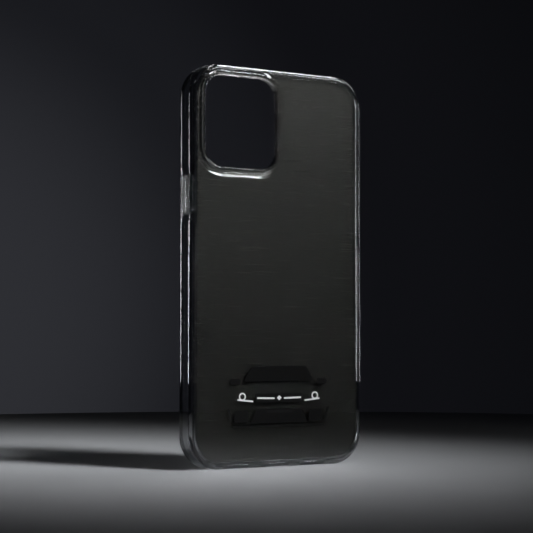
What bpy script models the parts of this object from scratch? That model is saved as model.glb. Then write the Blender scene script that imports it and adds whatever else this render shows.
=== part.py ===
"""Clear phone case: a hard clear back plate in a soft clear bumper, a camera
guard ring, a dark film behind the plate, three press-through button covers and
a thin printed car front. Metres, +Z up. The case stands on its bottom edge, its
printed back faces -Y and the side the phone goes into faces +Y.
"""

import math

import bmesh
import bpy
from mathutils import Vector

MM = 0.001

# ---- driving dimensions, in millimetres ------------------------------------
# Outer shell. The outline is a rounded rectangle in the XZ plane.
CASE_W = 82.0
CASE_H = 164.6
CORNER_R = 13.5
BACK_Y = -4.55  # outer face of the back plate
FRONT_Y = 6.35  # rim that stands proud of the screen
BACK_EDGE_R = 2.2
FRONT_EDGE_R = 1.3
CORNER_STEPS = 12

# The phone's room inside the shell.
WALL = 1.85
PLATE_T = 1.6
LIP_UNDER_Y = 5.0  # underside of the lip that holds the phone in
LIP_REACH = 1.0  # how far the lip leans over the phone
LIP_EDGE_R = 0.5

# Back plate: a land that fills the bumper's back opening and a tongue behind
# the bumper's flange.
FLANGE_T = 0.70
FLANGE_W = 2.90
LAND_GAP = 0.10
TONGUE_INSET = 2.00
TONGUE_GAP = 0.05

# Dark film on the plate's inner face.
FILM_GAP = 0.02
FILM_T = 0.15
FILM_INSET = 2.80

# Camera opening and the guard ring round it.
CAM_X, CAM_Z = -18.3, 141.0
CAM_W, CAM_H, CAM_R = 34.2, 38.0, 8.4
GUARD_Y = -6.35
GUARD_REACH = 3.0
GUARD_COLLAR = 0.9
GUARD_GAP = 0.10

# Button covers and their windows. Y of the button line, then Z of each.
BUTTON_Y = 1.05
POWER_Z, POWER_L = 110.8, 15.0
VOL_UP_Z, VOL_DOWN_Z, VOLUME_L = 118.1, 103.8, 12.0
BUTTON_W = 4.5
BUTTON_PROUD = 0.35
POCKET_DEPTH = 0.45
POCKET_LO_Y, POCKET_HI_Y = -3.60, 4.60
WEB_T = 0.60  # wall left between pocket and inner relief
WINDOW_GAP = 0.30
COVER_FLANGE = 0.80
COVER_FLANGE_T = 0.50
COVER_GAP = 0.10

# Mute-switch cut-out, on the volume side.
MUTE_Z, MUTE_L, MUTE_W = 130.9, 10.2, 5.4

# Ports in the bottom edge.
PORT_Y = 1.07
PORT_W, PORT_T = 13.0, 6.4
SPEAKER_X, SPEAKER_W, SPEAKER_T = 18.0, 12.0, 2.6

# Print on the outer face: two ink layers.
INK_GAP = 0.02
INK_T = 0.10
TOP_INK_T = 0.08

# ---- scene ------------------------------------------------------------------
for old in list(bpy.data.objects):
    bpy.data.objects.remove(old, do_unlink=True)

parts = bpy.data.collections.new("phone_case")
cutters = bpy.data.collections.new("phone_case_cutters")
bpy.context.scene.collection.children.link(parts)
bpy.context.scene.collection.children.link(cutters)
cutters.hide_render = True


def material(name, colour, roughness=0.4, transmission=0.0, ior=1.5, coat=0.0):
    """A plain Principled material."""
    made = bpy.data.materials.new(name)
    made.use_nodes = True
    made.diffuse_color = (*colour, 1.0)
    shader = made.node_tree.nodes["Principled BSDF"]
    shader.inputs["Base Color"].default_value = (*colour, 1.0)
    shader.inputs["Roughness"].default_value = roughness
    shader.inputs["Transmission Weight"].default_value = transmission
    shader.inputs["IOR"].default_value = ior
    shader.inputs["Coat Weight"].default_value = coat
    return made


def place(name, mesh, centre, finish=None, helper=False):
    """Puts a mesh made round its own centre into the scene."""
    obj = bpy.data.objects.new(name, mesh)
    obj.location = Vector(centre) * MM
    if helper:
        cutters.objects.link(obj)
        obj.hide_render = True
        obj.display_type = "WIRE"
    else:
        parts.objects.link(obj)
        mesh.materials.append(finish)
    return obj


AXES = {"X": 0, "Y": 1, "Z": 2}


def rounded_block(
    name,
    low,
    high,
    axis,
    radius,
    steps=6,
    low_rim=0.0,
    high_rim=0.0,
    rim_steps=3,
    narrow_high=None,
    **placing,
):
    """A box from low to high with the four edges along `axis` rounded.

    low_rim and high_rim round the edges of the two end faces. narrow_high is
    (direction, factor): the high end in that direction is scaled by the factor
    across the third direction, which makes a trapezium.
    """
    low, high = Vector(low), Vector(high)
    centre, size = (low + high) / 2, high - low
    run = AXES[axis]
    bm = bmesh.new()
    bmesh.ops.create_cube(bm, size=1.0)
    for vert in bm.verts:
        vert.co = Vector(vert.co[i] * size[i] * MM for i in range(3))
    if narrow_high:
        along, factor = AXES[narrow_high[0]], narrow_high[1]
        across = 3 - along - run
        for vert in bm.verts:
            if vert.co[along] > 0:
                vert.co[across] *= factor
    along_axis = [
        edge
        for edge in bm.edges
        if abs(edge.verts[0].co[run] - edge.verts[1].co[run]) > 1e-6
    ]
    if radius:
        bmesh.ops.bevel(
            bm,
            geom=along_axis,
            offset=radius * MM,
            offset_type="OFFSET",
            segments=steps,
            profile=0.5,
            affect="EDGES",
            clamp_overlap=True,
        )
    for side, rim in ((-1, low_rim), (1, high_rim)):
        if not rim:
            continue
        level = side * size[run] / 2 * MM
        edges = [
            edge
            for edge in bm.edges
            if all(abs(vert.co[run] - level) < 1e-7 for vert in edge.verts)
        ]
        bmesh.ops.bevel(
            bm,
            geom=edges,
            offset=rim * MM,
            offset_type="OFFSET",
            segments=rim_steps,
            profile=0.5,
            affect="EDGES",
            clamp_overlap=False,
        )
    bmesh.ops.recalc_face_normals(bm, faces=bm.faces)
    mesh = bpy.data.meshes.new(name)
    bm.to_mesh(mesh)
    bm.free()
    return place(name, mesh, centre, **placing)


def outline_block(name, inset, y_low, y_high, **options):
    """A slab with the case's own outline, drawn in by `inset` all round."""
    return rounded_block(
        name,
        (-CASE_W / 2 + inset, y_low, inset),
        (CASE_W / 2 - inset, y_high, CASE_H - inset),
        "Y",
        CORNER_R - inset,
        steps=CORNER_STEPS,
        **options,
    )


def camera_block(name, grow, y_low, y_high, **options):
    """A slab with the camera opening's outline, grown by `grow` all round."""
    return rounded_block(
        name,
        (CAM_X - CAM_W / 2 - grow, y_low, CAM_Z - CAM_H / 2 - grow),
        (CAM_X + CAM_W / 2 + grow, y_high, CAM_Z + CAM_H / 2 + grow),
        "Y",
        CAM_R + grow,
        steps=10,
        **options,
    )


def arc(centre, radius, start, end, steps):
    """Points of an arc, degrees, in the profile plane."""
    return [
        (
            centre[0] + radius * math.cos(math.radians(start + (end - start) * i / steps)),
            centre[1] + radius * math.sin(math.radians(start + (end - start) * i / steps)),
        )
        for i in range(steps + 1)
    ]


def poly_curve(name, points, flat):
    """A closed polyline curve through (a, b) points in millimetres."""
    curve = bpy.data.curves.new(name, "CURVE")
    curve.dimensions = "2D" if flat else "3D"
    curve.twist_mode = "Z_UP"
    spline = curve.splines.new("POLY")
    spline.points.add(len(points) - 1)
    for point, (a, b) in zip(spline.points, points):
        point.co = (a * MM, b * MM, 0.0, 1.0)
    spline.use_cyclic_u = True
    return curve


def rounded_path(width, height, radius, steps):
    """Corner arcs of a rounded rectangle, anticlockwise."""
    points = []
    a, b = width / 2 - radius, height / 2 - radius
    for cx, cy, start in ((a, b, 0), (-a, b, 90), (-a, -b, 180), (a, -b, 270)):
        points += arc((cx, cy), radius, start, start + 90, steps)
    return points


def swept_ring(name, profile, width, height, radius, steps, centre, finish):
    """Sweeps a closed profile round a rounded rectangle in the XZ plane.

    The profile is (outward, y) in millimetres, outward measured from the path.
    """
    path = poly_curve(name + "_path", rounded_path(width, height, radius, steps), False)
    # The sweep lays the section's own X outward from the path and its Y along
    # the path's normal, which the turn below lays along -Y.
    section = poly_curve(name + "_section", [(out, -y) for out, y in profile], True)
    guide = bpy.data.objects.new(name + "_section", section)
    cutters.objects.link(guide)
    guide.hide_render = True
    path.bevel_mode = "OBJECT"
    path.bevel_object = guide
    sweep = bpy.data.objects.new(name + "_path", path)
    cutters.objects.link(sweep)
    sweep.hide_render = True
    bpy.context.view_layer.update()
    graph = bpy.context.evaluated_depsgraph_get()
    mesh = bpy.data.meshes.new_from_object(sweep.evaluated_get(graph))
    mesh.name = name
    bm = bmesh.new()
    bm.from_mesh(mesh)
    bmesh.ops.remove_doubles(bm, verts=bm.verts, dist=1e-7)
    for vert in bm.verts:
        vert.co = Vector((vert.co.x, -vert.co.z, vert.co.y))
    bmesh.ops.recalc_face_normals(bm, faces=bm.faces)
    bm.to_mesh(mesh)
    bm.free()
    mesh.materials.clear()
    bpy.data.objects.remove(sweep, do_unlink=True)
    bpy.data.objects.remove(guide, do_unlink=True)
    return place(name, mesh, centre, finish)


def cut(obj, *tools):
    for tool in tools:
        step = obj.modifiers.new("cut_" + tool.name, "BOOLEAN")
        step.operation = "DIFFERENCE"
        step.solver = "EXACT"
        step.object = tool


def join(obj, *tools):
    for tool in tools:
        step = obj.modifiers.new("join_" + tool.name, "BOOLEAN")
        step.operation = "UNION"
        step.solver = "EXACT"
        step.object = tool


def settle(obj, angle=32.0):
    """Makes the modifiers' result the object's own mesh, shaded by angle."""
    bpy.context.view_layer.update()
    graph = bpy.context.evaluated_depsgraph_get()
    mesh = bpy.data.meshes.new_from_object(obj.evaluated_get(graph))
    mesh.name = obj.name
    obj.modifiers.clear()
    obj.data = mesh
    mesh.shade_smooth()
    mesh.set_sharp_from_angle(angle=math.radians(angle))
    return obj


# ---- materials --------------------------------------------------------------
soft_clear = material("soft_clear", (0.93, 0.95, 0.95), 0.08, 1.0, 1.50)
hard_clear = material("hard_clear", (0.95, 0.96, 0.96), 0.04, 1.0, 1.58)
guard_clear = material("guard_clear", (0.93, 0.95, 0.95), 0.05, 1.0, 1.50)
power_clear = material("power_cover_clear", (0.90, 0.92, 0.92), 0.12, 1.0, 1.50)
volume_up_clear = material("volume_up_clear", (0.90, 0.92, 0.92), 0.12, 1.0, 1.50)
volume_down_clear = material("volume_down_clear", (0.90, 0.92, 0.92), 0.12, 1.0, 1.50)
film_dark = material("film_dark", (0.035, 0.035, 0.032), 0.45)
ink_dark = material("ink_dark", (0.006, 0.006, 0.006), 0.35)
ink_grey = material("ink_grey", (0.02, 0.02, 0.02), 0.4)
ink_light = material("ink_light", (0.85, 0.85, 0.83), 0.45)

# ---- bumper -----------------------------------------------------------------
out_x = CASE_W / 2
bumper_profile = (
    [(-FLANGE_W, BACK_Y)]
    + arc((-BACK_EDGE_R, BACK_Y + BACK_EDGE_R), BACK_EDGE_R, -90, 0, 6)
    + arc((-FRONT_EDGE_R, FRONT_Y - FRONT_EDGE_R), FRONT_EDGE_R, 0, 90, 5)
    + arc(
        (-WALL - LIP_REACH + LIP_EDGE_R, FRONT_Y - LIP_EDGE_R),
        LIP_EDGE_R,
        90,
        180,
        3,
    )
    + [
        (-WALL - LIP_REACH, LIP_UNDER_Y + 0.35),
        (-WALL - LIP_REACH + 0.35, LIP_UNDER_Y),
        (-WALL, LIP_UNDER_Y),
        (-WALL, BACK_Y + FLANGE_T),
        (-FLANGE_W, BACK_Y + FLANGE_T),
    ]
)
bumper = swept_ring(
    "bumper_frame",
    bumper_profile,
    CASE_W,
    CASE_H,
    CORNER_R,
    CORNER_STEPS,
    (0, 0, CASE_H / 2),
    soft_clear,
)


def button_cut_tools(name, side, z, length):
    """Pocket, window and inner relief for one cover. side is -1 or +1 in X."""

    def across(lo, hi):
        # Distances out from the outer wall, turned into ordered X values.
        return sorted((side * (out_x + lo), side * (out_x + hi)))

    x0, x1 = across(-POCKET_DEPTH, 1.5)
    half = length / 2 + 4.4
    pocket = rounded_block(
        name + "_pocket",
        (x0, POCKET_LO_Y, z - half),
        (x1, POCKET_HI_Y, z + half),
        "X",
        1.2,
        steps=4,
        helper=True,
    )
    # The pocket's floor is shorter than its mouth, so its ends ramp.
    for vert in pocket.data.vertices:
        if vert.co.x * side < 0:
            vert.co.z *= (half - 3.4) / half
            vert.co.y *= 0.93
        else:
            vert.co.z *= 1.10
            vert.co.y *= 1.10
    x0, x1 = across(-WALL - 0.6, 0.9)
    half = length / 2 + WINDOW_GAP
    wide = BUTTON_W / 2 + WINDOW_GAP
    window = rounded_block(
        name + "_window",
        (x0, BUTTON_Y - wide, z - half),
        (x1, BUTTON_Y + wide, z + half),
        "X",
        wide - 0.05,
        steps=6,
        helper=True,
    )
    x0, x1 = across(-WALL - 0.6, -POCKET_DEPTH - WEB_T)
    grow = COVER_FLANGE + WINDOW_GAP
    relief = rounded_block(
        name + "_relief",
        (x0, BUTTON_Y - BUTTON_W / 2 - grow, z - length / 2 - grow),
        (x1, BUTTON_Y + BUTTON_W / 2 + grow, z + length / 2 + grow),
        "X",
        1.6,
        steps=4,
        helper=True,
    )
    return pocket, window, relief


def button_cover(name, side, z, length, finish):
    """A pill that fills the window, with a flange behind the wall."""

    def across(lo, hi):
        return sorted((side * (out_x + lo), side * (out_x + hi)))

    flange_out = -POCKET_DEPTH - WEB_T - COVER_GAP
    x0, x1 = across(flange_out - 0.2, BUTTON_PROUD)
    rims = {"low_rim": 0.45} if side < 0 else {"high_rim": 0.45}
    pill = rounded_block(
        name,
        (x0, BUTTON_Y - BUTTON_W / 2, z - length / 2),
        (x1, BUTTON_Y + BUTTON_W / 2, z + length / 2),
        "X",
        BUTTON_W / 2 - 0.05,
        steps=7,
        rim_steps=3,
        finish=finish,
        **rims,
    )
    x0, x1 = across(flange_out - COVER_FLANGE_T, flange_out)
    flange = rounded_block(
        name + "_flange",
        (x0, BUTTON_Y - BUTTON_W / 2 - COVER_FLANGE, z - length / 2 - COVER_FLANGE),
        (x1, BUTTON_Y + BUTTON_W / 2 + COVER_FLANGE, z + length / 2 + COVER_FLANGE),
        "X",
        1.4,
        steps=4,
        helper=True,
    )
    join(pill, flange)
    return settle(pill)


buttons = (
    ("side_button_cover", -1, POWER_Z, POWER_L, power_clear),
    ("volume_up_cover", 1, VOL_UP_Z, VOLUME_L, volume_up_clear),
    ("volume_down_cover", 1, VOL_DOWN_Z, VOLUME_L, volume_down_clear),
)
for name, side, z, length, finish in buttons:
    if side < 0:
        cut(bumper, *button_cut_tools(name, side, z, length))
    else:
        # The two volume covers share one pocket, cut below.
        pocket, window, relief = button_cut_tools(name, side, z, length)
        bpy.data.objects.remove(pocket, do_unlink=True)
        cut(bumper, window, relief)
    button_cover(name, side, z, length, finish)

volume_pocket, spare_window, spare_relief = button_cut_tools(
    "volume", 1, (VOL_UP_Z + VOL_DOWN_Z) / 2, VOL_UP_Z - VOL_DOWN_Z + VOLUME_L
)
bpy.data.objects.remove(spare_window, do_unlink=True)
bpy.data.objects.remove(spare_relief, do_unlink=True)
cut(bumper, volume_pocket)

# Mute-switch slot with a finger scoop that reaches the back edge.
mute_slot = rounded_block(
    "mute_slot",
    (out_x - 3.2, BUTTON_Y - MUTE_W / 2, MUTE_Z - MUTE_L / 2),
    (out_x + 1.0, BUTTON_Y + MUTE_W / 2, MUTE_Z + MUTE_L / 2),
    "X",
    MUTE_W / 2 - 0.05,
    steps=7,
    helper=True,
)
mute_scoop = rounded_block(
    "mute_scoop",
    (out_x - 0.75, -3.7, MUTE_Z - MUTE_L / 2 - 0.6),
    (out_x + 1.5, 4.7, MUTE_Z + MUTE_L / 2 + 0.6),
    "X",
    2.2,
    steps=5,
    helper=True,
)
for vert in mute_scoop.data.vertices:
    if vert.co.x > 0:
        vert.co.z *= 1.12
        vert.co.y *= 1.12
cut(bumper, mute_slot, mute_scoop)

# Charging port with a scoop that notches the back edge, and a slot each side.
port_slot = rounded_block(
    "port_slot",
    (-PORT_W / 2, PORT_Y - PORT_T / 2, -1.0),
    (PORT_W / 2, PORT_Y + PORT_T / 2, 3.4),
    "Z",
    PORT_T / 2 - 0.05,
    steps=7,
    helper=True,
)
port_scoop = rounded_block(
    "port_scoop",
    (-PORT_W / 2 - 0.7, PORT_Y - 4.6, -1.2),
    (PORT_W / 2 + 0.7, PORT_Y + 4.2, 0.75),
    "Z",
    3.6,
    steps=7,
    helper=True,
)
for vert in port_scoop.data.vertices:
    if vert.co.z < 0:
        vert.co.x *= 1.12
        vert.co.y *= 1.12
cut(bumper, port_slot, port_scoop)
for label, side in (("left", -1), ("right", 1)):
    slot = rounded_block(
        "speaker_slot_" + label,
        (side * SPEAKER_X - SPEAKER_W / 2, PORT_Y - SPEAKER_T / 2, -1.0),
        (side * SPEAKER_X + SPEAKER_W / 2, PORT_Y + SPEAKER_T / 2, 3.4),
        "Z",
        SPEAKER_T / 2 - 0.05,
        steps=5,
        helper=True,
    )
    cut(bumper, slot)
settle(bumper)

# ---- back plate -------------------------------------------------------------
plate = outline_block(
    "back_plate",
    TONGUE_INSET,
    BACK_Y + FLANGE_T + TONGUE_GAP,
    BACK_Y + PLATE_T,
    finish=hard_clear,
)
plate_land = outline_block(
    "plate_land",
    FLANGE_W + LAND_GAP,
    BACK_Y,
    BACK_Y + FLANGE_T + 0.4,
    helper=True,
)
plate_hole = camera_block(
    "plate_hole",
    GUARD_COLLAR + GUARD_GAP,
    BACK_Y - 1.0,
    BACK_Y + PLATE_T + 1.0,
    helper=True,
)
join(plate, plate_land)
cut(plate, plate_hole)
settle(plate)

# ---- dark film behind the plate ---------------------------------------------
film_y = BACK_Y + PLATE_T + FILM_GAP
film = outline_block("back_film", FILM_INSET, film_y, film_y + FILM_T, finish=film_dark)
film_hole = camera_block("film_hole", 0.4, film_y - 1.0, film_y + 1.0, helper=True)
cut(film, film_hole)
settle(film)

# ---- camera guard -----------------------------------------------------------
# Section: a collar through the plate and a raised lip that flares onto it.
lip_foot = BACK_Y - INK_GAP
guard_profile = (
    [(0.0, BACK_Y + PLATE_T)]
    + [(GUARD_COLLAR, BACK_Y + PLATE_T), (GUARD_COLLAR, lip_foot)]
    + [(GUARD_REACH, lip_foot), (GUARD_REACH, lip_foot - 0.12)]
    + arc((GUARD_REACH, lip_foot - 0.92), 0.80, 90, 160, 4)
    + arc((1.05, GUARD_Y + 0.75), 0.75, 0, -90, 5)
    + arc((0.40, GUARD_Y + 0.40), 0.40, -90, -180, 3)
)
swept_ring(
    "camera_guard",
    guard_profile,
    CAM_W,
    CAM_H,
    CAM_R,
    12,
    (CAM_X, 0, CAM_Z),
    guard_clear,
)
settle(bpy.data.objects["camera_guard"])

# ---- printed car front ------------------------------------------------------
INK_Y = BACK_Y - INK_GAP
TOP_INK_Y = INK_Y - INK_T - INK_GAP


def ink(name, x0, x1, z0, z1, radius, finish, top=False, tilt=0.0, narrow=None):
    """One printed patch. tilt turns it in its own plane, degrees."""
    y1 = TOP_INK_Y if top else INK_Y
    y0 = y1 - (TOP_INK_T if top else INK_T)
    patch = rounded_block(
        name,
        (x0, y0, z0),
        (x1, y1, z1),
        "Y",
        radius,
        steps=3,
        narrow_high=("Z", narrow) if narrow else None,
        finish=finish,
    )
    patch.rotation_euler = (0.0, math.radians(tilt), 0.0)
    return patch


ink("print_windscreen", -16.8, 16.8, 35.2, 41.4, 1.1, ink_dark, narrow=0.77)
ink("print_grille", -10.9, 10.9, 26.5, 30.3, 0.7, ink_dark, narrow=1.03)
ink("print_intake_centre", -13.6, 13.6, 18.1, 23.8, 0.6, ink_dark, narrow=0.78)
ink("print_lower_lip", -21.6, 21.6, 16.35, 17.35, 0.45, ink_dark, narrow=1.01)
ink("print_plate_strip", -6.3, 6.3, 22.15, 23.25, 0.2, ink_grey, top=True)
ink("print_grille_bar_left", -10.5, -2.2, 27.9, 28.65, 0.3, ink_light, True, 1.5)
ink("print_grille_bar_right", 2.2, 10.5, 27.9, 28.65, 0.3, ink_light, True, -1.5)

# A plain lozenge stands in the middle of the grille.
mark = ink("print_centre_mark", -0.8, 0.8, 27.55, 29.15, 0.15, ink_light, True, 45.0)

for label, side in (("left", -1), ("right", 1)):

    def span(lo, hi, side=side):
        return sorted((side * lo, side * hi))

    ink("print_mirror_" + label, *span(18.2, 22.9), 33.9, 36.3, 0.8, ink_dark)
    ink("print_intake_" + label, *span(14.2, 21.2), 18.7, 23.5, 0.8, ink_dark, narrow=0.86)
    ink(
        "print_side_trim_" + label,
        *span(22.7, 23.5),
        18.9,
        24.3,
        0.35,
        ink_dark,
        tilt=side * 14.0,
    )
    # Lamp: a bar with a round ring standing on it, joined into one line.
    lamp = ink(
        "print_lamp_" + label,
        *span(12.2, 19.7),
        27.1,
        27.8,
        0.3,
        ink_light,
        tilt=-side * 6.0,
    )
    ring_x, ring_z, ring_r, stroke = side * 17.3, 29.05, 1.62, 0.58
    for kind, radius, deep in (("ring", ring_r, INK_T), ("bore", ring_r - stroke, 1.0)):
        bpy.ops.mesh.primitive_cylinder_add(
            vertices=28,
            radius=radius * MM,
            depth=deep * MM,
            location=Vector((ring_x, INK_Y - INK_T / 2, ring_z)) * MM,
            rotation=(math.radians(90), 0.0, 0.0),
        )
        made = bpy.context.active_object
        made.name = f"lamp_{kind}_{label}"
        for holder in list(made.users_collection):
            holder.objects.unlink(made)
        cutters.objects.link(made)
        made.hide_render = True
        made.display_type = "WIRE"
        (join if kind == "ring" else cut)(lamp, made)
    settle(lamp)

for obj in parts.objects:
    if obj.name.startswith("print_") and not obj.name.startswith("print_lamp"):
        settle(obj)

bpy.context.view_layer.update()
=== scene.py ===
"""Looks for the phone case: finished shells, materials, light and camera round the
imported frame. Lengths in the shape code are millimetres, as in the design."""

import math

import bmesh
import bpy
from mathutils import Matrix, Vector


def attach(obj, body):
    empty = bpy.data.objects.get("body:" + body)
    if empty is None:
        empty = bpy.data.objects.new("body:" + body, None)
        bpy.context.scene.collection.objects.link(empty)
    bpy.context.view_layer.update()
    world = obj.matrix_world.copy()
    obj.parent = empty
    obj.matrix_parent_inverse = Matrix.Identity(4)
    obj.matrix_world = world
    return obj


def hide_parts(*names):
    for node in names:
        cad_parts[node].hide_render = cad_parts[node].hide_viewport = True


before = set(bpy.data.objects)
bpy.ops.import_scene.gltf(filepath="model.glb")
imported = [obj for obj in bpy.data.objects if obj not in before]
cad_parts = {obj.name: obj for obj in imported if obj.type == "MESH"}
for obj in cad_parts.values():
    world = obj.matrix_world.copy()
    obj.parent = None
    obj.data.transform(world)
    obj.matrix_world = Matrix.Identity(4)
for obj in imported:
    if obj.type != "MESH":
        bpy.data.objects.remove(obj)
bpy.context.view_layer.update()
MM = 0.001
scene = bpy.context.scene

# ---- the design's own dimensions, repeated ----------------------------------
CASE_W, CASE_H, CORNER_R = 82.0, 164.6, 13.5
BACK_Y, FRONT_Y = -4.55, 6.35
BACK_EDGE_R, FRONT_EDGE_R = 2.2, 1.3
WALL, PLATE_T, LIP_UNDER_Y, LIP_REACH = 1.85, 1.6, 5.0, 1.0
FLANGE_T, FLANGE_W, LAND_GAP = 0.70, 2.90, 0.10
TONGUE_INSET, TONGUE_GAP, INK_GAP = 2.00, 0.05, 0.02
CAM_X, CAM_Z, CAM_W, CAM_H, CAM_R = -18.3, 141.0, 34.2, 38.0, 8.4
GUARD_Y, GUARD_COLLAR, GUARD_GAP = -6.35, 0.9, 0.10
BUTTON_Y, BUTTON_W, BUTTON_PROUD = 1.05, 4.5, 0.35
POCKET_DEPTH, WEB_T, WINDOW_GAP = 0.45, 0.60, 0.30
COVER_FLANGE, COVER_FLANGE_T, COVER_GAP = 0.80, 0.50, 0.10
MUTE_Z, MUTE_L, MUTE_W = 130.9, 10.2, 5.4
PORT_Y, PORT_W, PORT_T = 1.07, 13.0, 6.4
SPEAKER_X, SPEAKER_W, SPEAKER_T = 18.0, 12.0, 2.6
BUTTONS = (
    ("side_button", -1, 110.8, 15.0),
    ("volume_up", 1, 118.1, 12.0),
    ("volume_down", 1, 103.8, 12.0),
)


# ---- shapes -------------------------------------------------------------------
def filleted(corners, steps=5):
    """A closed outline of (a, b, radius) corners with each corner rounded."""
    points = []
    for i, (a, b, radius) in enumerate(corners):
        here = Vector((a, b))
        before = Vector(corners[i - 1][:2]) - here
        after = Vector(corners[(i + 1) % len(corners)][:2]) - here
        if not radius:
            points.append((a, b))
            continue
        before.normalize()
        after.normalize()
        half = before.angle(after) / 2
        reach = radius / math.tan(half)
        centre = here + (before + after).normalized() * (radius / math.sin(half))
        first = here + before * reach - centre
        turn = math.pi - 2 * half
        sign = 1 if first.x * after.y - first.y * after.x > 0 else -1
        count = max(2, round(steps * turn / (math.pi / 2)))
        for k in range(count + 1):
            t = sign * turn * k / count
            points.append(
                (
                    centre.x + first.x * math.cos(t) - first.y * math.sin(t),
                    centre.y + first.x * math.sin(t) + first.y * math.cos(t),
                )
            )
    return points


def rounded_outline(a0, a1, b0, b1, radius, steps):
    """Anticlockwise rounded rectangle."""
    points = []
    for ca, cb, start in (
        (a1 - radius, b1 - radius, 0),
        (a0 + radius, b1 - radius, 90),
        (a0 + radius, b0 + radius, 180),
        (a1 - radius, b0 + radius, 270),
    ):
        for k in range(steps + 1):
            t = math.radians(start + 90 * k / steps)
            points.append((ca + radius * math.cos(t), cb + radius * math.sin(t)))
    return points


def to_world(axis, height, a, b):
    """height runs along the axis; a and b are the other two axes in order."""
    if axis == "X":
        return Vector((height, a, b)) * MM
    if axis == "Y":
        return Vector((a, height, b)) * MM
    return Vector((a, b, height)) * MM


def lofted(name, axis, levels, steps=10, ring=False):
    """Skins rounded rectangles given as (height, a0, a1, b0, b1, radius).

    With ring=True the last level joins the first and there are no ends.
    """
    bm = bmesh.new()
    loops = []
    for height, a0, a1, b0, b1, radius in levels:
        outline = rounded_outline(a0, a1, b0, b1, radius, steps)
        loops.append([bm.verts.new(to_world(axis, height, a, b)) for a, b in outline])
    pairs = list(zip(loops, loops[1:]))
    if ring:
        pairs.append((loops[-1], loops[0]))
    else:
        bm.faces.new(loops[0])
        bm.faces.new(reversed(loops[-1]))
    for low, high in pairs:
        for k in range(len(low)):
            n = (k + 1) % len(low)
            bm.faces.new((low[k], low[n], high[n], high[k]))
    bmesh.ops.remove_doubles(bm, verts=bm.verts, dist=1e-8)
    bmesh.ops.recalc_face_normals(bm, faces=bm.faces)
    mesh = bpy.data.meshes.new(name)
    bm.to_mesh(mesh)
    bm.free()
    obj = bpy.data.objects.new(name, mesh)
    scene.collection.objects.link(obj)
    return obj


def swept(name, outline, a0, a1, b0, b1, radius, steps):
    """Sweeps an (outward, y) outline round a rounded rectangle in XZ."""
    levels = [
        (y, a0 - out, a1 + out, b0 - out, b1 + out, radius + out) for out, y in outline
    ]
    return lofted(name, "Y", levels, steps, ring=True)


def settled(obj, tools=(), kind="DIFFERENCE", angle=30.0):
    """Applies cutters or additions, then smooth shading with even highlights."""
    for tool in tools:
        step = obj.modifiers.new("step", "BOOLEAN")
        step.operation, step.solver, step.object = kind, "EXACT", tool
    graph = bpy.context.evaluated_depsgraph_get()
    bpy.context.view_layer.update()
    mesh = bpy.data.meshes.new_from_object(obj.evaluated_get(graph))
    obj.modifiers.clear()
    obj.data = mesh
    for tool in tools:
        bpy.data.objects.remove(tool, do_unlink=True)
    bm = bmesh.new()
    bm.from_mesh(mesh)
    bmesh.ops.remove_doubles(bm, verts=bm.verts, dist=2e-7)
    bmesh.ops.dissolve_degenerate(bm, edges=bm.edges, dist=1e-7)
    bm.to_mesh(mesh)
    bm.free()
    mesh.shade_smooth()
    mesh.set_sharp_from_angle(angle=math.radians(angle))
    even = obj.modifiers.new("even", "WEIGHTED_NORMAL")
    even.keep_sharp = True
    even.weight = 80
    graph = bpy.context.evaluated_depsgraph_get()
    bpy.context.view_layer.update()
    mesh = bpy.data.meshes.new_from_object(obj.evaluated_get(graph))
    obj.modifiers.clear()
    obj.data = mesh
    return obj


def soft_mouth(outer, depth, radius, flare, floor_r, box, steps_in=4):
    """Levels of a cutter with a rounded mouth and a rounded floor edge.

    outer is the wall's surface, depth how deep the cut goes, box its mouth as
    (a0, a1, b0, b1, corner). Height is measured outward and signed by the caller.
    """
    a0, a1, b0, b1, corner = box

    def level(h, grow):
        return (h, a0 - grow, a1 + grow, b0 - grow, b1 + grow, max(corner + grow, 0.05))

    out = []
    if floor_r:
        for k in range(steps_in + 1):
            t = math.radians(90 * k / steps_in)
            out.append(
                level(
                    outer - depth + floor_r * (1 - math.cos(t)),
                    -floor_r * (1 - math.sin(t)),
                )
            )
    else:
        out.append(level(outer - depth, 0.0))
    for k in range(1, steps_in + 1):
        t = math.radians(84 * k / steps_in)
        out.append(level(outer - flare + flare * math.sin(t), flare * (1 - math.cos(t))))
    out.append(level(outer + 0.9, flare * 0.9 + 2.2))
    return out


def along(axis_sign, levels):
    return [(axis_sign * h, *rest) for h, *rest in levels]


half_w = CASE_W / 2
bumper = swept(
    "bumper_shell",
    filleted(
        [
            (-FLANGE_W, BACK_Y, 0.05),
            (0.0, BACK_Y, BACK_EDGE_R),
            (0.0, FRONT_Y, FRONT_EDGE_R),
            (-WALL - LIP_REACH, FRONT_Y, 0.5),
            (-WALL - LIP_REACH, LIP_UNDER_Y, 0.3),
            (-WALL, LIP_UNDER_Y, 0.15),
            (-WALL, BACK_Y + FLANGE_T, 0.25),
            (-FLANGE_W, BACK_Y + FLANGE_T, 0.12),
        ],
        steps=9,
    ),
    -half_w,
    half_w,
    0.0,
    CASE_H,
    CORNER_R,
    28,
)
cutters = []


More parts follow.
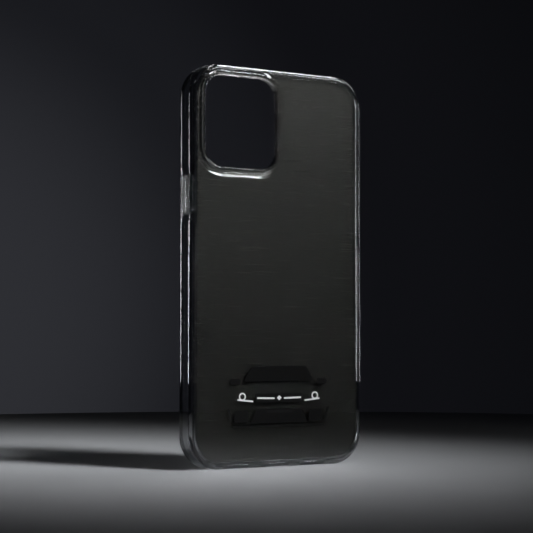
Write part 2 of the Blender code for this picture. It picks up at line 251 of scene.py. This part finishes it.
def pocket(name, side, z, half, ramp=3.4):
    """A shallow recess whose ends ramp down to its floor."""
    levels = []
    for h, grow_y, grow_z, corner in (
        (half_w - POCKET_DEPTH, -0.55, -ramp, 1.0),
        (half_w - POCKET_DEPTH + 0.05, -0.33, -ramp + 0.35, 1.2),
        (half_w - 0.26, -0.18, -ramp * 0.5, 1.5),
        (half_w - 0.10, -0.06, -0.55, 1.7),
        (half_w - 0.03, 0.10, -0.05, 1.9),
        (half_w + 0.02, 0.40, 0.45, 2.2),
        (half_w + 1.20, 2.4, 3.5, 4.0),
    ):
        levels.append(
            (
                side * h,
                -3.45 - grow_y,
                4.45 + grow_y,
                z - half - grow_z,
                z + half + grow_z,
                corner,
            )
        )
    cutters.append(lofted(name, "X", levels, 8))


pocket("cut_side_pocket", -1, 110.8, 7.5 + 4.4)
pocket("cut_volume_pocket", 1, (118.1 + 103.8) / 2, (118.1 - 103.8 + 12.0) / 2 + 4.4)

for name, side, z, length in BUTTONS:
    wide = BUTTON_W / 2 + WINDOW_GAP
    half = length / 2 + WINDOW_GAP
    box = (BUTTON_Y - wide, BUTTON_Y + wide, z - half, z + half, wide - 0.05)
    levels = soft_mouth(half_w - POCKET_DEPTH, 2.2, 0, 0.16, 0, box)
    cutters.append(lofted("cut_window_" + name, "X", along(side, levels), 10))
    grow = COVER_FLANGE + WINDOW_GAP
    cutters.append(
        lofted(
            "cut_relief_" + name,
            "X",
            [
                (
                    side * (half_w + h),
                    BUTTON_Y - BUTTON_W / 2 - grow,
                    BUTTON_Y + BUTTON_W / 2 + grow,
                    z - length / 2 - grow,
                    z + length / 2 + grow,
                    1.6,
                )
                for h in (-WALL - 0.6, -POCKET_DEPTH - WEB_T)
            ],
            6,
        )
    )

# Mute-switch slot in a finger scoop.
box = (
    BUTTON_Y - MUTE_W / 2,
    BUTTON_Y + MUTE_W / 2,
    MUTE_Z - MUTE_L / 2,
    MUTE_Z + MUTE_L / 2,
    MUTE_W / 2 - 0.05,
)
cutters.append(lofted("cut_mute_slot", "X", soft_mouth(half_w - 0.75, 2.45, 0, 0.2, 0, box), 10))
box = (-3.7, 4.7, MUTE_Z - MUTE_L / 2 - 0.6, MUTE_Z + MUTE_L / 2 + 0.6, 2.2)
cutters.append(lofted("cut_mute_scoop", "X", soft_mouth(half_w, 0.75, 0, 0.35, 0.3, box), 10))

# Charging port and speaker slots in the bottom edge, which faces -Z.
box = (-PORT_W / 2, PORT_W / 2, PORT_Y - PORT_T / 2, PORT_Y + PORT_T / 2, PORT_T / 2 - 0.05)
cutters.append(
    lofted("cut_port", "Z", along(-1, soft_mouth(-0.75, 2.65, 0, 0.2, 0, box)), 12)
)
box = (-PORT_W / 2 - 0.7, PORT_W / 2 + 0.7, PORT_Y - 4.6, PORT_Y + 4.2, 3.6)
cutters.append(
    lofted("cut_port_scoop", "Z", along(-1, soft_mouth(0.0, 0.75, 0, 0.35, 0.3, box)), 12)
)
for side in (-1, 1):
    box = (
        side * SPEAKER_X - SPEAKER_W / 2,
        side * SPEAKER_X + SPEAKER_W / 2,
        PORT_Y - SPEAKER_T / 2,
        PORT_Y + SPEAKER_T / 2,
        SPEAKER_T / 2 - 0.05,
    )
    cutters.append(
        lofted("cut_speaker", "Z", along(-1, soft_mouth(0.0, 3.4, 0, 0.25, 0, box)), 10)
    )
settled(bumper, cutters)
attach(bumper, "shell")
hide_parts("bumper_frame")


def inset_levels(pairs):
    """Levels of the case's outline, drawn in by `inset` at each height."""
    return [
        (
            y,
            -half_w + inset,
            half_w - inset,
            inset,
            CASE_H - inset,
            CORNER_R - inset,
        )
        for y, inset in pairs
    ]


def camera_levels(pairs):
    return [
        (
            y,
            CAM_X - CAM_W / 2 - grow,
            CAM_X + CAM_W / 2 + grow,
            CAM_Z - CAM_H / 2 - grow,
            CAM_Z + CAM_H / 2 + grow,
            CAM_R + grow,
        )
        for y, grow in pairs
    ]


land = FLANGE_W + LAND_GAP
plate = lofted(
    "back_sheet",
    "Y",
    inset_levels(
        [
            (BACK_Y, land + 0.10),
            (BACK_Y + 0.03, land + 0.03),
            (BACK_Y + 0.10, land),
            (BACK_Y + FLANGE_T + TONGUE_GAP, land),
            (BACK_Y + FLANGE_T + TONGUE_GAP, TONGUE_INSET + 0.08),
            (BACK_Y + FLANGE_T + TONGUE_GAP + 0.08, TONGUE_INSET),
            (BACK_Y + PLATE_T - 0.10, TONGUE_INSET),
            (BACK_Y + PLATE_T, TONGUE_INSET + 0.10),
        ]
    ),
    28,
)
hole = lofted(
    "cut_plate_hole",
    "Y",
    camera_levels([(BACK_Y - 1, GUARD_COLLAR + GUARD_GAP), (BACK_Y + PLATE_T + 1, GUARD_COLLAR + GUARD_GAP)]),
    20,
)
settled(plate, [hole])
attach(plate, "shell")
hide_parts("back_plate")

# Guard: a collar through the sheet, a raised ring, and a grooved foot round it.
foot = BACK_Y - INK_GAP
guard = swept(
    "guard_ring",
    filleted(
        [
            (0.0, BACK_Y + PLATE_T, 0.12),
            (GUARD_COLLAR, BACK_Y + PLATE_T, 0.12),
            (GUARD_COLLAR, foot, 0.0),
            (3.60, foot, 0.0),
            (3.60, foot - 0.37, 0.14),
            (3.50, foot - 0.37, 0.06),
            (2.72, foot - 0.15, 0.25),
            (1.94, foot - 0.37, 0.06),
            (1.78, foot - 0.37, 0.15),
            (1.50, GUARD_Y, 0.55),
            (0.0, GUARD_Y, 0.42),
        ],
        steps=7,
    ),
    CAM_X - CAM_W / 2,
    CAM_X + CAM_W / 2,
    CAM_Z - CAM_H / 2,
    CAM_Z + CAM_H / 2,
    CAM_R,
    24,
)
settled(guard)
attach(guard, "shell")
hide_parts("camera_guard")


def cover(name, side, z, length):
    """A pill with a softly crowned face, on a flange behind the wall."""
    flange_out = -POCKET_DEPTH - WEB_T - COVER_GAP
    inner = flange_out - COVER_FLANGE_T

    def level(h, grow, corner=None):
        radius = BUTTON_W / 2 - 0.05 + grow if corner is None else corner
        return (
            side * (half_w + h),
            BUTTON_Y - BUTTON_W / 2 - grow,
            BUTTON_Y + BUTTON_W / 2 + grow,
            z - length / 2 - grow,
            z + length / 2 + grow,
            radius,
        )

    levels = [
        level(inner, COVER_FLANGE - 0.08, 1.4),
        level(inner + 0.08, COVER_FLANGE, 1.4),
        level(flange_out - 0.08, COVER_FLANGE, 1.4),
        level(flange_out, COVER_FLANGE - 0.08, 1.4),
        level(flange_out, 0.0),
    ]
    rim = 0.48
    for k in range(7):
        t = math.radians(90 * k / 6)
        levels.append(level(BUTTON_PROUD - 0.04 - rim + rim * math.sin(t), -rim * (1 - math.cos(t))))
    levels.append(level(BUTTON_PROUD - 0.012, -rim - 0.35))
    levels.append(level(BUTTON_PROUD, -rim - 0.85))
    made = lofted(name + "_cap", "X", levels, 12)
    settled(made)
    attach(made, name)
    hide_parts(name + "_cover")
    return made


caps = [cover(*button) for button in BUTTONS]


# ---- materials ------------------------------------------------------------------
def new_material(name):
    made = bpy.data.materials.new(name)
    made.use_nodes = True
    tree = made.node_tree
    tree.nodes.clear()
    out = tree.nodes.new("ShaderNodeOutputMaterial")
    shader = tree.nodes.new("ShaderNodeBsdfPrincipled")
    tree.links.new(shader.outputs[0], out.inputs["Surface"])
    return made, tree, shader, out


def noise(tree, scale, detail=3.0, rough=0.55, location=(0, 0, 0)):
    """Noise on object coordinates; scale is detail per metre along each axis."""
    tex = tree.nodes.new("ShaderNodeTexCoord")
    mapping = tree.nodes.new("ShaderNodeMapping")
    mapping.inputs["Scale"].default_value = scale
    mapping.inputs["Location"].default_value = location
    tree.links.new(tex.outputs["Object"], mapping.inputs["Vector"])
    node = tree.nodes.new("ShaderNodeTexNoise")
    node.inputs["Scale"].default_value = 1.0
    node.inputs["Detail"].default_value = detail
    node.inputs["Roughness"].default_value = rough
    tree.links.new(mapping.outputs["Vector"], node.inputs["Vector"])
    return node.outputs["Fac"]


def remap(tree, value, low, high, from_low=0.3, from_high=0.7):
    node = tree.nodes.new("ShaderNodeMapRange")
    node.inputs["From Min"].default_value = from_low
    node.inputs["From Max"].default_value = from_high
    node.inputs["To Min"].default_value = low
    node.inputs["To Max"].default_value = high
    tree.links.new(value, node.inputs["Value"])
    return node.outputs["Result"]


def two_colours(tree, factor, first, second):
    node = tree.nodes.new("ShaderNodeMix")
    node.data_type = "RGBA"
    node.inputs["A"].default_value = (*first, 1.0)
    node.inputs["B"].default_value = (*second, 1.0)
    tree.links.new(factor, node.inputs["Factor"])
    return node.outputs["Result"]


def bump(tree, shader, value, distance, strength=1.0):
    node = tree.nodes.new("ShaderNodeBump")
    node.inputs["Distance"].default_value = distance
    node.inputs["Strength"].default_value = strength
    tree.links.new(value, node.inputs["Height"])
    tree.links.new(node.outputs["Normal"], shader.inputs["Normal"])


def clear(name, first, second, ior, rough_low, rough_high, ripple, shadow=0.93):
    """Clear moulded plastic: two close tints, fine wear, a slow surface ripple.

    Lamps reach what lies behind it.
    """
    made, tree, shader, out = new_material(name)
    tint = noise(tree, (38, 38, 30), 2.0, 0.5, (2, 5, 1))
    tree.links.new(two_colours(tree, remap(tree, tint, 0, 1), first, second), shader.inputs["Base Color"])
    shader.inputs["Transmission Weight"].default_value = 1.0
    shader.inputs["IOR"].default_value = ior
    wear = noise(tree, (420, 420, 420), 4.0, 0.6)
    tree.links.new(remap(tree, wear, rough_low, rough_high), shader.inputs["Roughness"])
    bump(tree, shader, noise(tree, (60, 60, 45), 2.0), ripple)
    path = tree.nodes.new("ShaderNodeLightPath")
    through = tree.nodes.new("ShaderNodeBsdfTransparent")
    through.inputs["Color"].default_value = (shadow, shadow, shadow, 1.0)
    mix = tree.nodes.new("ShaderNodeMixShader")
    tree.links.new(path.outputs["Is Shadow Ray"], mix.inputs["Fac"])
    tree.links.new(shader.outputs[0], mix.inputs[1])
    tree.links.new(through.outputs[0], mix.inputs[2])
    tree.links.new(mix.outputs[0], out.inputs["Surface"])
    return made


bumper_clear = clear(
    "bumper_clear", (0.48, 0.49, 0.50), (0.54, 0.55, 0.56), 1.49, 0.0, 0.02, 0.000002, 0.7
)
plate_clear = clear(
    "sheet_clear", (0.96, 0.965, 0.955), (0.98, 0.98, 0.975), 1.50, 0.0, 0.02, 0.000002
)
guard_clear = clear(
    "guard_clear", (0.88, 0.885, 0.88), (0.94, 0.945, 0.94), 1.50, 0.0, 0.02, 0.000002, 0.92
)
cover_clear = clear(
    "cap_clear", (0.72, 0.74, 0.75), (0.80, 0.81, 0.82), 1.49, 0.06, 0.14, 0.00002, 0.8
)

# Dark film: a fine brushed pattern that runs across the case.
film_dark, tree, shader, _ = new_material("film_brushed")
streak = noise(tree, (60, 1, 2600), 2.0, 0.5)
long_streak = noise(tree, (40, 1, 3400), 3.0, 0.65, (3, 0, 7))
tree.links.new(
    two_colours(tree, remap(tree, streak, 0.0, 1.0), (0.002, 0.002, 0.0018), (0.0045, 0.0045, 0.004)),
    shader.inputs["Base Color"],
)
tree.links.new(remap(tree, long_streak, 0.240, 0.285, 0.2, 0.8), shader.inputs["Roughness"])
shader.inputs["Specular IOR Level"].default_value = 0.95
shader.inputs["Specular Tint"].default_value = (1.0, 1.0, 0.94, 1.0)
bump(tree, shader, streak, 0.000001)


def ink(name, low, high, rough, specular):
    made, tree, shader, _ = new_material(name)
    grain = noise(tree, (1500, 1500, 1500), 3.0, 0.6)
    tree.links.new(
        two_colours(tree, remap(tree, grain, 0.0, 1.0), low, high),
        shader.inputs["Base Color"],
    )
    tree.links.new(remap(tree, grain, rough - 0.05, rough + 0.08), shader.inputs["Roughness"])
    shader.inputs["Specular IOR Level"].default_value = specular
    bump(tree, shader, grain, 0.000003)
    return made


ink_dark = ink("ink_black", (0.0055, 0.0055, 0.0055), (0.0085, 0.0085, 0.0085), 0.4, 0.12)
ink_grey = ink("ink_grey", (0.010, 0.010, 0.010), (0.014, 0.014, 0.014), 0.4, 0.15)
ink_light = ink("ink_white", (0.86, 0.86, 0.84), (0.94, 0.94, 0.92), 0.5, 0.4)

for piece, look, slot in (
    (bumper, bumper_clear, "soft_clear"),
    (plate, plate_clear, "hard_clear"),
    (guard, guard_clear, "guard_clear"),
    (caps[0], cover_clear, "side_cover_clear"),
    (caps[1], cover_clear, "volume_up_clear"),
    (caps[2], cover_clear, "volume_down_clear"),
):
    piece.data.materials.clear()
    piece.data.materials.append(look)

LIGHT_PRINT = ("lamp", "bar", "mark")
for name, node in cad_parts.items():
    if node.hide_render:
        continue
    if name == "back_film":
        look = film_dark
    elif name == "print_plate_strip":
        look = ink_grey
    elif any(word in name for word in LIGHT_PRINT):
        look = ink_light
    else:
        look = ink_dark
    node.data.materials.clear()
    node.data.materials.append(look)

# ---- floor ------------------------------------------------------------------------
floor_look, tree, shader, _ = new_material("floor_pale")
tree.links.new(
    two_colours(
        tree,
        remap(tree, noise(tree, (9, 9, 9), 4.0), 0.0, 1.0),
        (0.50, 0.505, 0.515),
        (0.54, 0.545, 0.555),
    ),
    shader.inputs["Base Color"],
)
tree.links.new(
    remap(tree, noise(tree, (700, 700, 700), 2.0), 0.6, 0.75), shader.inputs["Roughness"]
)
shader.inputs["Specular IOR Level"].default_value = 0.0
bm = bmesh.new()
bmesh.ops.create_circle(bm, cap_ends=True, segments=128, radius=0.46)
floor_mesh = bpy.data.meshes.new("floor")
bm.to_mesh(floor_mesh)
bm.free()
floor = bpy.data.objects.new("floor", floor_mesh)
scene.collection.objects.link(floor)
floor_mesh.materials.append(floor_look)
floor.location = (0, 0, -0.0002)

# ---- light ------------------------------------------------------------------------
MID = Vector((0, 0, 0.085))


def at(azimuth, elevation, distance, target=MID):
    a, e = math.radians(azimuth), math.radians(elevation)
    return target + distance * Vector(
        (math.sin(a) * math.cos(e), -math.cos(a) * math.cos(e), math.sin(e))
    )


def softbox(name, place, target, width, height, watts, spread, colour=(1, 1, 1), edge=False):
    """An area lamp. edge=True only draws highlights, and isn't seen through plastic."""
    lamp = bpy.data.lights.new(name, "AREA")
    lamp.shape = "RECTANGLE"
    lamp.size, lamp.size_y = width, height
    lamp.energy = watts
    lamp.color = colour
    lamp.spread = math.radians(spread)
    obj = bpy.data.objects.new(name, lamp)
    scene.collection.objects.link(obj)
    obj.location = place
    obj.rotation_euler = (Vector(target) - Vector(place)).to_track_quat("-Z", "Y").to_euler()
    obj.visible_camera = False
    obj.visible_transmission = not edge
    obj.visible_diffuse = not edge
    return obj


COOL = (0.95, 0.97, 1.0)
POOL = Vector((-0.068, 0.105, 0))
key = softbox("key_box", at(30, 41, 0.95, POOL), POOL, 0.22, 0.22, 0.16, 19.5, COOL)
key.visible_glossy = False
softbox("front_box", at(32, 26, 0.95), MID, 0.50, 0.34, 0.0225, 26, (1, 1, 0.98))
RING = Vector((-0.018, -0.005, 0.14))
softbox("ring_strip", at(43, 31, 0.9, RING), RING, 0.29, 0.12, 0.066, 20, COOL, edge=True)
TOP = Vector((0, 0, 0.16))
softbox("top_strip", at(95, 60, 0.8, TOP), TOP, 0.24, 0.28, 0.12, 22, COOL, edge=True)
EDGE = Vector((0, 0, 0.13))
softbox("left_strip", at(-126, 2, 0.7, EDGE), EDGE, 0.26, 0.28, 0.075, 23, COOL, edge=True)
softbox("rim_strip", at(-172, 2, 0.7, EDGE), EDGE, 0.22, 0.28, 0.04, 23, COOL, edge=True)
softbox("right_strip", at(135, 2, 0.7, EDGE), EDGE, 0.13, 0.28, 0.022, 23, COOL, edge=True)
CORNER = Vector((0.036, 0, 0.158))
softbox("corner_strip", at(125, 28, 0.7, CORNER), CORNER, 0.12, 0.38, 0.016, 23, COOL, edge=True)

# A dark studio with one soft glow low on the wall behind.
world = bpy.data.worlds.new("studio")
scene.world = world
world.use_nodes = True
tree = world.node_tree
tree.nodes.clear()
out = tree.nodes.new("ShaderNodeOutputWorld")
back = tree.nodes.new("ShaderNodeBackground")
tex = tree.nodes.new("ShaderNodeTexCoord")
dot = tree.nodes.new("ShaderNodeVectorMath")
dot.operation = "DOT_PRODUCT"
glow = at(165, 1.0, 1.0, Vector((0, 0, 0)))
dot.inputs[1].default_value = glow
tree.links.new(tex.outputs["Generated"], dot.inputs[0])
ramp = tree.nodes.new("ShaderNodeValToRGB")
tree.links.new(remap(tree, dot.outputs["Value"], 0.0, 1.0, 0.86, 1.0), ramp.inputs["Fac"])
ramp.color_ramp.interpolation = "EASE"
ramp.color_ramp.elements[0].position = 0.0
ramp.color_ramp.elements[0].color = (0.0030, 0.0032, 0.0040, 1)
ramp.color_ramp.elements[1].position = 1.0
ramp.color_ramp.elements[1].color = (0.027, 0.028, 0.033, 1)
for position, colour in (
    (0.57, (0.0048, 0.005, 0.0065, 1)),
    (0.79, (0.0095, 0.010, 0.0125, 1)),
):
    ramp.color_ramp.elements.new(position).color = colour
tree.links.new(ramp.outputs["Color"], back.inputs["Color"])
tree.links.new(back.outputs[0], out.inputs["Surface"])

# ---- camera -----------------------------------------------------------------------
cam_data = bpy.data.cameras.new("camera")
camera = bpy.data.objects.new("camera", cam_data)
scene.collection.objects.link(camera)
cam_data.sensor_width = 36.0
cam_data.lens = 95.6
camera.location = Vector((-297.1, -508.6, 51.7)) * MM
yaw, pitch = math.radians(30.01), math.radians(3.01)
aim = Vector(
    (math.sin(yaw) * math.cos(pitch), math.cos(yaw) * math.cos(pitch), math.sin(pitch))
)
camera.rotation_euler = aim.to_track_quat("-Z", "Y").to_euler()
cam_data.clip_start, cam_data.clip_end = 0.01, 50.0
scene.camera = camera
scene.view_settings.view_transform = "Standard"
